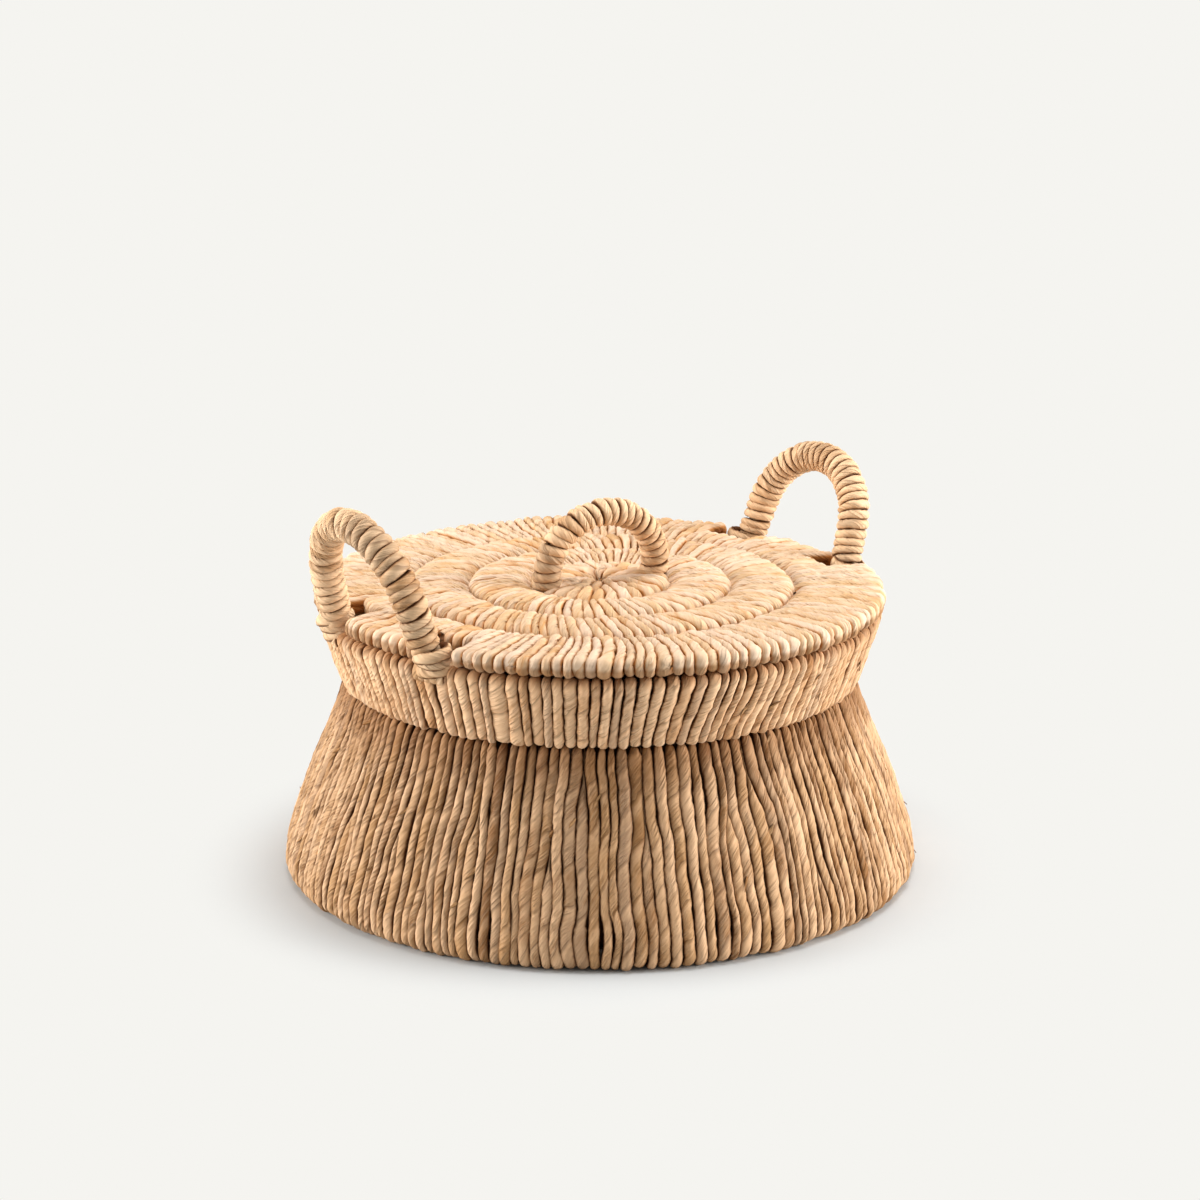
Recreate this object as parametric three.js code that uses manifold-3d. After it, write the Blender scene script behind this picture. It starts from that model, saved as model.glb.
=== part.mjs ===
// A round lidded basket: flattened cord wound on welded wire frames, with a flared skirt,
// a collar, two side handles and a lift-off lid that is notched around the handles' feet.
// Millimetres, +Z up, origin on the ground at the centre, side handles on the X axis.
import * as THREE from "three";
import { mergeVertices } from "three/addons/utils/BufferGeometryUtils.js";
import Module from "manifold-3d";

const wasm = await Module();
wasm.setup();

// Driving sizes of the body
const baseRadius = 200;
const neckRadius = 161;
const rimRadius = 174.8;
const skirtHeight = 125;
const collarHeight = 44.8;

// Cord, wire and clearance
const cordThickness = 3.5;
const wireDiameter = 4;
const baseRodDiameter = 9;
const fitGap = 0.3;
const footFlatDepth = 0.5;
const overrun = 20;

// Floor panel
const floorThickness = 11;
const spokeWidth = 2.4;
const spokeHeight = 4;

// Lid
const lidRadius = 177.4;
const lidThickness = 12.4;
const lidWireDiameter = 2.6;
const lidWireLift = 0.5;
const centreZoneRadius = 44;
const innerZoneRadius = 82;
const middleZoneRadius = 121;
const grooveDepth = 1.8;
const grooveWidth = 8;
const notchHalfWidth = 16;
const notchInnerRadius = 150;
const shortRimRadius = 169.6;
const rimWireCornerCut = 4;

// Side handles: what they share, then the rise and lean of each, bent by hand to its own
const sideHandle = {
  footDistance: 161.8,
  halfSpan: 42.5,
  footSplay: 7.5,
  legRise: 34.3,
  outerDiameter: 20.4,
  wrapWidth: 5,
  wrapLoops: 24,
};
const rightHandle = {
  ...sideHandle,
  rise: 75.3,
  lean: THREE.MathUtils.degToRad(18.7),
};
const leftHandle = {
  ...sideHandle,
  rise: 84.3,
  lean: THREE.MathUtils.degToRad(16),
};
const lashingWidth = 23;

// Lid handle
const lidHandle = {
  halfSpan: 37,
  legRise: 13.8,
  rise: 51.3,
  lean: THREE.MathUtils.degToRad(8),
  turn: THREE.MathUtils.degToRad(-13),
  outerDiameter: 16.6,
  wrapWidth: 3.8,
  wrapLoops: 22,
};

// Wrapping cord of the handles
const wrapThickness = 3.8;
const wrapStepsPerLoop = 8;
const wrapClearance = 0.35;

// Counts
const strutCount = 8;
const spokeCount = 8;
const ringSegments = 40;
const middleRingSegments = 32;
const smallRingSegments = 24;
const wireSides = 4;
const paddingSides = 6;
const noseSteps = 5;
const archSteps = 18;

// Derived sizes
const wireRadius = wireDiameter / 2;
const baseRodRadius = baseRodDiameter / 2;
const noseRadius = wireRadius + fitGap + cordThickness;
const rollRadius = baseRodRadius + fitGap + cordThickness;
const collarTop = skirtHeight + collarHeight;
const neckWireRadius = neckRadius - noseRadius;
const rimWireRadius = rimRadius - noseRadius;
const rimWireZ = collarTop - noseRadius;
const baseRodZ = rollRadius - footFlatDepth;
const baseRodCentreRadius = baseRadius - rollRadius;
const lidBottom = collarTop + fitGap;
const lidMiddle = lidBottom + lidThickness / 2;
const lidTop = lidBottom + lidThickness;
const lidNose = lidThickness / 2;
const quarterTurn = Math.PI / 2;
const halfTurn = Math.PI;

// The wall of the skirt between base rod and waist: height share, then flare share
const skirtShares = [
  [0, 1],
  [0.1, 1],
  [0.255, 0.871],
  [0.5, 0.573],
  [0.75, 0.23],
  [1, 0],
];

const straw = { color: 0xd9ab72, roughness: 0.75, metalness: 0 };
const paleStraw = { color: 0xe6bd86, roughness: 0.72, metalness: 0 };
const steel = { color: 0x6d6a66, roughness: 0.5, metalness: 0.8 };
const stalk = { color: 0xc49a66, roughness: 0.9, metalness: 0 };

const basket = new THREE.Group();

// Solids and booleans

function solidFrom(geometry) {
  const bare = geometry.clone();
  bare.deleteAttribute("normal");
  bare.deleteAttribute("uv");
  const merged = mergeVertices(bare, 1e-4);
  const mesh = new wasm.Mesh({
    numProp: 3,
    vertProperties: new Float32Array(merged.attributes.position.array),
    triVerts: new Uint32Array(merged.index.array),
  });
  return new wasm.Manifold(mesh);
}

function geometryFrom(solid) {
  const mesh = solid.getMesh();
  const positions = new Float32Array(mesh.numVert * 3);
  for (let i = 0; i < mesh.numVert; i++) {
    const start = i * mesh.numProp;
    positions.set(mesh.vertProperties.subarray(start, start + 3), i * 3);
  }
  const geometry = new THREE.BufferGeometry();
  geometry.setAttribute("position", new THREE.BufferAttribute(positions, 3));
  geometry.setIndex(new THREE.BufferAttribute(new Uint32Array(mesh.triVerts), 1));
  geometry.computeVertexNormals();
  return geometry;
}

function cut(geometry, tools) {
  let solid = solidFrom(geometry);
  for (const tool of tools) solid = solid.subtract(solidFrom(tool));
  return geometryFrom(solid);
}

function common(first, second) {
  return geometryFrom(solidFrom(first).intersect(solidFrom(second)));
}

function joined(first, second) {
  return geometryFrom(solidFrom(first).add(solidFrom(second)));
}

function addPart(name, geometry, look) {
  const mesh = new THREE.Mesh(geometry, new THREE.MeshStandardMaterial(look));
  mesh.name = name;
  basket.add(mesh);
  return mesh;
}

// Outlines and sweeps

const onCircle = (radius, angle) =>
  new THREE.Vector2(radius * Math.cos(angle), radius * Math.sin(angle));

function arc(centre, radius, from, to, steps) {
  const points = [];
  for (let i = 0; i <= steps; i++)
    points.push(onCircle(radius, from + ((to - from) * i) / steps).add(centre));
  return points;
}

function polygon(radius, sides) {
  const points = [];
  for (let i = 0; i < sides; i++)
    points.push(onCircle(radius, (2 * halfTurn * i) / sides));
  return points;
}

// Turns a closed outline of (radius, height) points, anticlockwise, about the Z axis.
function turned(outline, segments) {
  const closed = [...outline, outline[0].clone()];
  return new THREE.LatheGeometry(closed, segments).rotateX(quarterTurn);
}

// Turns an outline that starts and ends on the axis.
function turnedDisc(outline, segments) {
  return new THREE.LatheGeometry(outline, segments).rotateX(quarterTurn);
}

// A ring of wire; segments start on +Y as those of a turned outline do.
function wireRing(radius, tube, z, segments) {
  const outline = arc(new THREE.Vector2(radius, z), tube, 0, 2 * halfTurn, wireSides);
  outline.pop();
  return turned(outline, segments);
}

function tubeAlong(curve, radius, sides, steps) {
  const shape = new THREE.Shape(polygon(radius, sides));
  return new THREE.ExtrudeGeometry(shape, { steps, extrudePath: curve, bevelEnabled: false });
}

// Joins rings of points, each a list of Vector3, into a closed tube.
function skinOfRings(rings, looped) {
  const sides = rings[0].length;
  const positions = rings.flat().flatMap((p) => [p.x, p.y, p.z]);
  const index = [];
  const spans = looped ? rings.length : rings.length - 1;
  for (let i = 0; i < spans; i++) {
    const here = i * sides;
    const next = ((i + 1) % rings.length) * sides;
    for (let j = 0; j < sides; j++) {
      const k = (j + 1) % sides;
      index.push(here + j, next + j, next + k, here + j, next + k, here + k);
    }
  }
  if (!looped) {
    const last = (rings.length - 1) * sides;
    for (let j = 1; j < sides - 1; j++) {
      index.push(0, j, j + 1);
      index.push(last, last + j + 1, last + j);
    }
  }
  const geometry = new THREE.BufferGeometry();
  geometry.setAttribute("position", new THREE.Float32BufferAttribute(positions, 3));
  geometry.setIndex(index);
  geometry.computeVertexNormals();
  return geometry;
}

// A wire bent through points of one plane with the given normal, mitred at its corners.
function bentWire(points, radius, normal, looped) {
  const last = points.length - 1;
  const rings = points.map((point, i) => {
    const before = points[i > 0 || !looped ? Math.max(i - 1, 0) : last];
    const after = points[i < last || !looped ? Math.min(i + 1, last) : 0];
    const into = point.clone().sub(before).normalize();
    const out = after.clone().sub(point).normalize();
    const heading = into.clone().add(out).normalize();
    const stretch = 1 / heading.dot(i < last || looped ? out : into);
    const side = new THREE.Vector3().crossVectors(heading, normal).multiplyScalar(stretch);
    return polygon(radius, wireSides).map((s) =>
      point.clone().addScaledVector(side, s.x).addScaledVector(normal, s.y),
    );
  });
  return skinOfRings(rings, looped);
}

// Skirt: a double wall of cord round the base rod, open at the waist

const skirtCentre = new THREE.SplineCurve(
  skirtShares.map(
    ([height, flare]) =>
      new THREE.Vector2(
        neckWireRadius + (baseRodCentreRadius - neckWireRadius) * flare,
        baseRodZ + (skirtHeight - baseRodZ) * height,
      ),
  ),
);

// A point beside the skirt's centre line: outwards where the offset is positive.
function besideSkirt(along, offset) {
  const point = skirtCentre.getPointAt(along);
  const tangent = skirtCentre.getTangentAt(along);
  return new THREE.Vector2(point.x + tangent.y * offset, point.y - tangent.x * offset);
}

const skirtTop = skirtHeight - fitGap / 2;
const outerShares = [0.11, 0.33, 0.55, 0.78, 1];
const cavityShares = [0.1, 0.4, 0.7, 1];
const innerShares = [0.1, 0.55, 1];

// A faceted bore's radius, so that its flats clear a wire by the fit gap.
const boreOver = (radius, step) => (radius + fitGap) / Math.cos(step / 2);

function skirtSide(shares, offset) {
  return shares.map((along) => {
    const point = besideSkirt(along, offset);
    if (along === 1) point.y = skirtTop;
    return point;
  });
}

function skirtOutline() {
  const rod = new THREE.Vector2(baseRodCentreRadius, baseRodZ);
  const cavityHalf = wireRadius + fitGap;
  const rollStart = THREE.MathUtils.degToRad(30);
  const flatHalf = Math.acos(baseRodZ / rollRadius);
  const down = halfTurn + quarterTurn;
  const rollSteps = 4;
  const boreStart = THREE.MathUtils.degToRad(60);
  const boreSteps = 5;
  const roll = [
    ...arc(rod, rollRadius, halfTurn - rollStart, down - flatHalf, rollSteps),
    ...arc(rod, rollRadius, down + flatHalf, 2 * halfTurn + rollStart, rollSteps),
  ];
  const boreTurn = halfTurn + 2 * boreStart;
  const boreRadius = boreOver(baseRodRadius, boreTurn / boreSteps);
  const bore = arc(rod, boreRadius, 2 * halfTurn + boreStart, halfTurn - boreStart, boreSteps);
  return [
    ...roll,
    ...skirtSide(outerShares, noseRadius),
    ...skirtSide(cavityShares, cavityHalf).reverse(),
    ...bore,
    ...skirtSide(cavityShares, -cavityHalf),
    ...skirtSide(innerShares, -noseRadius).reverse(),
  ];
}

// Spokes: flat bars welded into a star, half-lapped where ring wires cross them

function spokeStar(firstLength, otherLength, z, room = 0) {
  let star;
  for (let i = 0; i < spokeCount / 2; i++) {
    const length = i === 0 ? firstLength : otherLength;
    const bar = new THREE.BoxGeometry(
      2 * (length + room),
      spokeWidth + 2 * room,
      spokeHeight + 2 * room,
    );
    bar.rotateZ((halfTurn * i) / (spokeCount / 2)).translate(0, 0, z);
    star = star ? joined(star, bar) : bar;
  }
  return star;
}

const floorSpokeLength = baseRodCentreRadius - baseRodRadius - fitGap;
const floorSpokes = spokeStar(floorSpokeLength, floorSpokeLength, baseRodZ);
const floorSpokeRoom = spokeStar(floorSpokeLength, floorSpokeLength, baseRodZ, fitGap);

// Body of the basket

addPart("skirt_weave", cut(turned(skirtOutline(), ringSegments), [floorSpokeRoom]), straw);
addPart(
  "base_rod",
  wireRing(baseRodCentreRadius, baseRodRadius, baseRodZ, ringSegments),
  steel,
);
addPart("neck_ring", wireRing(neckWireRadius, wireRadius, skirtHeight, ringSegments), steel);
addPart("rim_ring", wireRing(rimWireRadius, wireRadius, rimWireZ, ringSegments), steel);

// Floor: a wound disc on its spokes, edge rolled to sit in the foot of the skirt
const floorEdge = floorThickness / 2;
const floorRadius = baseRodCentreRadius - rollRadius - fitGap;
const floorTop = baseRodZ + floorEdge;
const floorOutline = [
  new THREE.Vector2(0, baseRodZ - floorEdge),
  ...arc(
    new THREE.Vector2(floorRadius - floorEdge, baseRodZ),
    floorEdge,
    -quarterTurn,
    quarterTurn,
    noseSteps,
  ),
  new THREE.Vector2(0, floorTop),
];
addPart("floor_weave", cut(turnedDisc(floorOutline, ringSegments), [floorSpokeRoom]), straw);
addPart("floor_spokes", floorSpokes, steel);

// Collar: a double wall over the rim ring, open at the waist
const collarLean = Math.atan2(rimWireRadius - neckWireRadius, rimWireZ - skirtHeight);

function collarSide(offset) {
  const across = offset / Math.cos(collarLean);
  const bottom = skirtHeight + fitGap / 2;
  return new THREE.Vector2(neckWireRadius + across, bottom);
}

function collarOutline() {
  const rim = new THREE.Vector2(rimWireRadius, rimWireZ);
  const boreSteps = 3;
  const boreRadius = boreOver(wireRadius, halfTurn / boreSteps);
  return [
    collarSide(-boreRadius),
    collarSide(-noseRadius),
    ...arc(rim, noseRadius, halfTurn - collarLean, -collarLean, noseSteps),
    collarSide(noseRadius),
    collarSide(boreRadius),
    ...arc(rim, boreRadius, -collarLean, halfTurn - collarLean, boreSteps),
  ].reverse();
}

// A strut in the vertical plane at an angle, through (radius, height) points.
function strut(points, angle) {
  const flat = points.map(
    (p) => new THREE.Vector3(p.x * Math.cos(angle), p.x * Math.sin(angle), p.y),
  );
  const normal = new THREE.Vector3(-Math.sin(angle), Math.cos(angle), 0);
  return bentWire(flat, wireRadius, normal, false);
}

const ringToStrut = wireRadius + fitGap;
const skirtLength = skirtCentre.getLength();
const skirtStrutShares = [
  (baseRodRadius + fitGap) / skirtLength,
  ...cavityShares.slice(0, -1),
  1 - ringToStrut / skirtLength,
];
const skirtStrutPoints = skirtStrutShares.map((along) => skirtCentre.getPointAt(along));
const neckPoint = new THREE.Vector2(neckWireRadius, skirtHeight);
const rimPoint = new THREE.Vector2(rimWireRadius, rimWireZ);
const collarRise = rimPoint.clone().sub(neckPoint).normalize();
const collarStrutPoints = [
  neckPoint.clone().addScaledVector(collarRise, ringToStrut),
  rimPoint.clone().addScaledVector(collarRise, -ringToStrut),
];
for (let i = 0; i < strutCount; i++) {
  const angle = (2 * halfTurn * i) / strutCount;
  addPart(`skirt_strut_${i + 1}`, strut(skirtStrutPoints, angle), steel);
  addPart(`collar_strut_${i + 1}`, strut(collarStrutPoints, angle), steel);
}

// Handles: a wire arch, padded with stalk and wrapped with cord

// An arch in a leaning plane: legs splayed at the foot, then a half ellipse.
class Arch extends THREE.Curve {
  constructor(size, origin, turn) {
    super();
    this.size = size;
    this.origin = origin;
    this.across = new THREE.Vector3(-Math.sin(turn), Math.cos(turn), 0);
    const outwards = new THREE.Vector3(Math.cos(turn), Math.sin(turn), 0);
    this.up = new THREE.Vector3(0, 0, Math.cos(size.lean));
    this.up.addScaledVector(outwards, Math.sin(size.lean));
    this.normal = new THREE.Vector3().crossVectors(this.across, this.up);
  }
  getPoint(t, target = new THREE.Vector3()) {
    const { halfSpan, legRise, rise, footSplay = 0 } = this.size;
    const crown = rise - legRise;
    const legShare = legRise / (2 * legRise + (halfTurn * (halfSpan + crown)) / 2);
    let across = -halfSpan;
    let up = (legRise * Math.min(t, 1 - t)) / legShare;
    if (t > 0.5) across = halfSpan;
    if (t > legShare && t < 1 - legShare) {
      const swing = (halfTurn * (t - 0.5)) / (1 - 2 * legShare);
      across = halfSpan * Math.sin(swing);
      up = legRise + crown * Math.cos(swing);
    }
    const splay = Math.sign(across) * footSplay * (1 - up / rise) ** 3;
    target.copy(this.origin).addScaledVector(this.across, across + splay);
    return target.addScaledVector(this.up, up);
  }
}

// The part of a curve between two lengths from its ends.
class Stretch extends THREE.Curve {
  constructor(curve, startLength, endLength) {
    super();
    this.curve = curve;
    this.from = startLength / curve.getLength();
    this.to = 1 - endLength / curve.getLength();
  }
  getPoint(t, target = new THREE.Vector3()) {
    return this.curve.getPointAt(this.from + (this.to - this.from) * t, target);
  }
}

// The middle line of the cord wound on an arch, as points with their outward directions.
function windingLine(arch, startLength, windRadius) {
  const { wrapWidth, wrapLoops } = arch.size;
  const total = arch.getLength();
  const coilStart = startLength + wrapWidth / 2;
  const steps = wrapLoops * wrapStepsPerLoop;
  const line = [];
  for (let i = 0; i <= steps; i++) {
    const share = (coilStart + ((total - 2 * coilStart) * i) / steps) / total;
    const angle = (2 * halfTurn * i) / wrapStepsPerLoop;
    const tangent = arch.getTangentAt(share);
    const outwards = new THREE.Vector3().crossVectors(arch.normal, tangent);
    outwards.multiplyScalar(Math.cos(angle)).addScaledVector(arch.normal, Math.sin(angle));
    const point = arch.getPointAt(share).addScaledVector(outwards, windRadius);
    line.push({ point, outwards });
  }
  return line;
}

// The four-sided rings of a cord that follows a winding's middle line.
function windingRings(line, width) {
  return line.map(({ point, outwards }, i) => {
    const before = line[Math.max(i - 1, 0)].point;
    const after = line[Math.min(i + 1, line.length - 1)].point;
    const heading = after.clone().sub(before).normalize();
    const side = new THREE.Vector3().crossVectors(heading, outwards).normalize();
    const face = new THREE.Vector3().crossVectors(side, heading);
    return [
      point.clone().addScaledVector(side, width / 2),
      point.clone().addScaledVector(face, wrapThickness / 2),
      point.clone().addScaledVector(side, -width / 2),
      point.clone().addScaledVector(face, -wrapThickness / 2),
    ];
  });
}

// The least gap between turns: from middle to middle, less the cord's full width.
function leastGap(line, width) {
  let least = Infinity;
  for (let i = 0; i < line.length; i++)
    for (let j = i + wrapStepsPerLoop / 2; j < line.length; j++)
      least = Math.min(least, line[i].point.distanceTo(line[j].point) - width);
  return least;
}

// The length along a leaning leg at which its whole cover stands above a height.
function legLengthTo(height, size) {
  return (height + (size.outerDiameter / 2) * Math.sin(size.lean)) / Math.cos(size.lean);
}

// Adds a handle's three pieces and returns the room that its wire takes in what it crosses.
function addHandle(name, arch, wireStart, coverStart) {
  const windRadius = arch.size.outerDiameter / 2 - wrapThickness / 2;
  const flatRadius = windRadius * Math.cos(halfTurn / wrapStepsPerLoop);
  const paddingRadius = flatRadius - wrapThickness / 2 - wrapClearance;
  const wire = new Stretch(arch, wireStart, wireStart);
  const cover = new Stretch(arch, coverStart, coverStart);
  const room = tubeAlong(wire, wireRadius + fitGap, wireSides, archSteps);
  const padding = tubeAlong(cover, paddingRadius, paddingSides, archSteps);
  const line = windingLine(arch, coverStart, windRadius);
  const gap = leastGap(line, arch.size.wrapWidth);
  console.log(`${name}_wrap least gap to itself: ${gap.toFixed(2)} mm`);
  addPart(`${name}_wire`, tubeAlong(wire, wireRadius, wireSides, archSteps), steel);
  addPart(`${name}_padding`, cut(padding, [room]), stalk);
  const rings = windingRings(line, arch.size.wrapWidth);
  addPart(`${name}_wrap`, skinOfRings(rings, false), paleStraw);
  return room;
}

const footAngle = Math.atan2(
  sideHandle.halfSpan + sideHandle.footSplay,
  sideHandle.footDistance,
);
const lashingInner = noseRadius + fitGap;
const lashingOuter = lashingInner + cordThickness;
const sideWireStart = 2 * wireRadius + fitGap;
const sides = [
  ["right", 0, rightHandle],
  ["left", halfTurn, leftHandle],
];

// A saddle of cord over the collar's nose at one foot, with the handle's wire through it.
function lashing(footTurn, wireRoom) {
  const rim = new THREE.Vector2(rimWireRadius, rimWireZ);
  const inwardEnd = halfTurn - collarLean;
  const outwardEnd = -collarLean;
  const band = turned(
    [
      ...arc(rim, lashingOuter, outwardEnd, inwardEnd, noseSteps),
      ...arc(rim, lashingInner, inwardEnd, outwardEnd, noseSteps),
    ],
    ringSegments,
  );
  const window = new THREE.BoxGeometry(4 * overrun, lashingWidth, 4 * overrun);
  window.translate(rimWireRadius, 0, rimWireZ).rotateZ(footTurn);
  return cut(common(band, window), [wireRoom]);
}

const wireRooms = [];
for (const [side, turn, size] of sides) {
  const origin = new THREE.Vector3(size.footDistance, 0, rimWireZ);
  origin.applyAxisAngle(new THREE.Vector3(0, 0, 1), turn);
  const arch = new Arch(size, origin, turn);
  const coverStart = legLengthTo(lashingOuter + fitGap, size);
  const room = addHandle(`${side}_handle`, arch, sideWireStart, coverStart);
  wireRooms.push(room);
  addPart(`${side}_handle_lashing_1`, lashing(turn - footAngle, room), paleStraw);
  addPart(`${side}_handle_lashing_2`, lashing(turn + footAngle, room), paleStraw);
}
addPart("collar_weave", cut(turned(collarOutline(), ringSegments), wireRooms), straw);

// Lid

// A ring-shaped zone of the lid: rolled outer edge, groove at its inner edge.
function lidZoneOutline(innerRadius, outerRadius) {
  const nose = new THREE.Vector2(outerRadius - lidNose, lidMiddle);
  return [
    new THREE.Vector2(innerRadius, lidBottom),
    ...arc(nose, lidNose, -quarterTurn, quarterTurn, noseSteps),
    new THREE.Vector2(innerRadius + grooveWidth, lidTop),
    new THREE.Vector2(innerRadius, lidTop - grooveDepth),
  ];
}

const zoneRadii = [centreZoneRadius, innerZoneRadius, middleZoneRadius, lidRadius];
const lidWireRadius = lidWireDiameter / 2;
const lidWireZ = lidMiddle + lidWireLift;
const ringRadii = zoneRadii.map((radius) => radius - lidNose);
const zoneSegments = [smallRingSegments, smallRingSegments, middleRingSegments, ringSegments];
const longArcSteps = 14;
const shortArcSteps = 4;
const ringRoom = (i) =>
  wireRing(ringRadii[i], lidWireRadius + fitGap, lidWireZ, zoneSegments[i]);

// The rim wire: outer arcs, a detour inside each notch and a shorter arc between two notches.
function rimWirePath() {
  const offset = notchHalfWidth + lidNose;
  const inner = notchInnerRadius - lidNose;
  const longArc = ringRadii[3];
  const shortArc = shortRimRadius - lidNose;
  const path = [];
  const place = (radius, side, turn) => {
    const point = onCircle(radius, turn).add(onCircle(side, turn + quarterTurn));
    return new THREE.Vector3(point.x, point.y, lidWireZ);
  };
  const onArc = (radius, side) => Math.sqrt(radius ** 2 - side ** 2);
  const corner = (radius, side, turn, before, after) => {
    const [r1, s1] = before;
    const [r2, s2] = after;
    path.push(place(radius + r1, side + s1, turn), place(radius + r2, side + s2, turn));
  };
  const addArc = (radius, from, to, steps) => {
    for (let i = 1; i < steps; i++) path.push(place(radius, 0, from + ((to - from) * i) / steps));
  };
  const bend = rimWireCornerCut;
  for (const [, turn] of sides) {
    const first = turn - footAngle;
    const second = turn + footAngle;
    const longEdge = Math.asin(offset / longArc);
    const shortEdge = Math.asin(offset / shortArc);
    corner(onArc(longArc, offset), -offset, first, [0, -bend], [-bend, 0]);
    corner(inner, -offset, first, [bend, 0], [0, bend]);
    corner(inner, offset, first, [0, -bend], [bend, 0]);
    corner(onArc(shortArc, offset), offset, first, [-bend, 0], [0, bend]);
    addArc(shortArc, first + shortEdge, second - shortEdge, shortArcSteps);
    corner(onArc(shortArc, offset), -offset, second, [0, -bend], [-bend, 0]);
    corner(inner, -offset, second, [bend, 0], [0, bend]);
    corner(inner, offset, second, [0, -bend], [bend, 0]);
    corner(onArc(longArc, offset), offset, second, [-bend, 0], [0, bend]);
    const nextFoot = turn + halfTurn - footAngle;
    addArc(longArc, second + longEdge, nextFoot - longEdge, longArcSteps);
  }
  return path;
}

const upwards = new THREE.Vector3(0, 0, 1);
const rimWire = bentWire(rimWirePath(), lidWireRadius, upwards, true);
const rimWireRoom = bentWire(rimWirePath(), lidWireRadius + fitGap, upwards, true);

// The spokes on the X axis end at the rim wire's short arcs, the others at its long arcs.
const wireMeeting = lidWireRadius + fitGap;
const longArcFlat = Math.cos((quarterTurn - footAngle) / longArcSteps);
const lidSpokeEnds = [
  shortRimRadius - lidNose - wireMeeting,
  (lidRadius - lidNose) * longArcFlat - wireMeeting,
];
const lidSpokeRoomEnds = lidSpokeEnds.map((end) => end + wireMeeting);
const lidSpokeRoom = spokeStar(...lidSpokeRoomEnds, lidMiddle, fitGap);
const lidSpokes = cut(spokeStar(...lidSpokeEnds, lidMiddle), [0, 1, 2].map(ringRoom));

const centreOutline = [
  new THREE.Vector2(0, lidBottom),
  ...arc(
    new THREE.Vector2(ringRadii[0], lidMiddle),
    lidNose,
    -quarterTurn,
    quarterTurn,
    noseSteps,
  ),
  new THREE.Vector2(0, lidTop),
];

// The lid handle stands on the smallest ring; its wire passes through the centre zone.
const lidArch = new Arch(
  lidHandle,
  new THREE.Vector3(0, 0, lidWireZ),
  lidHandle.turn - quarterTurn,
);
const lidWireStart = lidWireRadius + fitGap + wireRadius;
const lidCoverStart = legLengthTo(lidTop - lidWireZ + fitGap, lidHandle);
const lidHandleRoom = addHandle("lid_handle", lidArch, lidWireStart, lidCoverStart);

addPart(
  "lid_centre_weave",
  cut(turnedDisc(centreOutline, smallRingSegments), [ringRoom(0), lidSpokeRoom, lidHandleRoom]),
  paleStraw,
);
const zoneNames = ["lid_centre_weave", "lid_inner_weave", "lid_middle_weave", "lid_outer_weave"];
for (const i of [1, 2]) {
  const outline = lidZoneOutline(zoneRadii[i - 1] + fitGap, zoneRadii[i]);
  const zone = cut(turned(outline, zoneSegments[i]), [ringRoom(i), lidSpokeRoom]);
  addPart(zoneNames[i], zone, paleStraw);
}

// What is cut from the rim between two notches, to set its rolled edge back.
function setBackRoom() {
  const nose = new THREE.Vector2(shortRimRadius - lidNose, lidMiddle);
  const outside = lidRadius + overrun;
  const ring = turned(
    [
      new THREE.Vector2(nose.x, lidBottom - fitGap),
      new THREE.Vector2(outside, lidBottom - fitGap),
      new THREE.Vector2(outside, lidTop + fitGap),
      new THREE.Vector2(nose.x, lidTop + fitGap),
      ...arc(nose, lidNose, quarterTurn, -quarterTurn, noseSteps),
    ],
    ringSegments,
  );
  const width = 2 * notchInnerRadius * Math.sin(footAngle);
  const window = new THREE.BoxGeometry(2 * (outside + overrun), width, 2 * lidThickness);
  return common(ring, window.translate(0, 0, lidMiddle));
}

function notchRoom(angle) {
  const depth = lidRadius - notchInnerRadius + overrun;
  const box = new THREE.BoxGeometry(depth, 2 * notchHalfWidth, 2 * lidThickness);
  return box.translate(notchInnerRadius + depth / 2, 0, lidMiddle).rotateZ(angle);
}

function lidOuterZone() {
  const outline = lidZoneOutline(middleZoneRadius + fitGap, lidRadius);
  const rooms = [setBackRoom(), rimWireRoom, lidSpokeRoom];
  for (const [, turn] of sides)
    rooms.push(notchRoom(turn - footAngle), notchRoom(turn + footAngle));
  return cut(turned(outline, ringSegments), rooms);
}

addPart("lid_outer_weave", lidOuterZone(), paleStraw);
addPart("lid_spokes", lidSpokes, steel);
addPart("lid_rim_wire", rimWire, steel);
for (const i of [0, 1, 2])
  addPart(
    `lid_ring_${i + 1}`,
    wireRing(ringRadii[i], lidWireRadius, lidWireZ, zoneSegments[i]),
    steel,
  );

export default basket;
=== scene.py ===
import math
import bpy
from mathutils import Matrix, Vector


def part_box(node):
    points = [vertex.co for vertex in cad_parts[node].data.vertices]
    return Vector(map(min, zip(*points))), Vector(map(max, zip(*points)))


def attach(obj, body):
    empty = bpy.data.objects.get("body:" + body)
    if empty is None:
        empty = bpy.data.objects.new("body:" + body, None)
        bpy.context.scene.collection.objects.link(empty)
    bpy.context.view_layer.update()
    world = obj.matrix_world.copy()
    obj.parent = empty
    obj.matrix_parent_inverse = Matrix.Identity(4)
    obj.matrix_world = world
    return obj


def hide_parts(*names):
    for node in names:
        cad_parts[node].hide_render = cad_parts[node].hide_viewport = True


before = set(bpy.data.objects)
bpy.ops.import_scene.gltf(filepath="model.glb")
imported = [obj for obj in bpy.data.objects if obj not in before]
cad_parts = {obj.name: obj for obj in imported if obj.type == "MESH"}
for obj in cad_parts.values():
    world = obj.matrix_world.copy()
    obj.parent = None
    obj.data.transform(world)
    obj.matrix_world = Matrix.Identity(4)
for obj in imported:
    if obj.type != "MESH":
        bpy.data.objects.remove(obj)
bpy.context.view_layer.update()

# A woven lidded box: every cord of the walls, floor, lid and handles is a tube of its own,
# laid over the frame's wires. Metres, Z up, in the frame's own coordinates.
from types import SimpleNamespace

import bpy
import numpy as np
from mathutils import Vector

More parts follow.
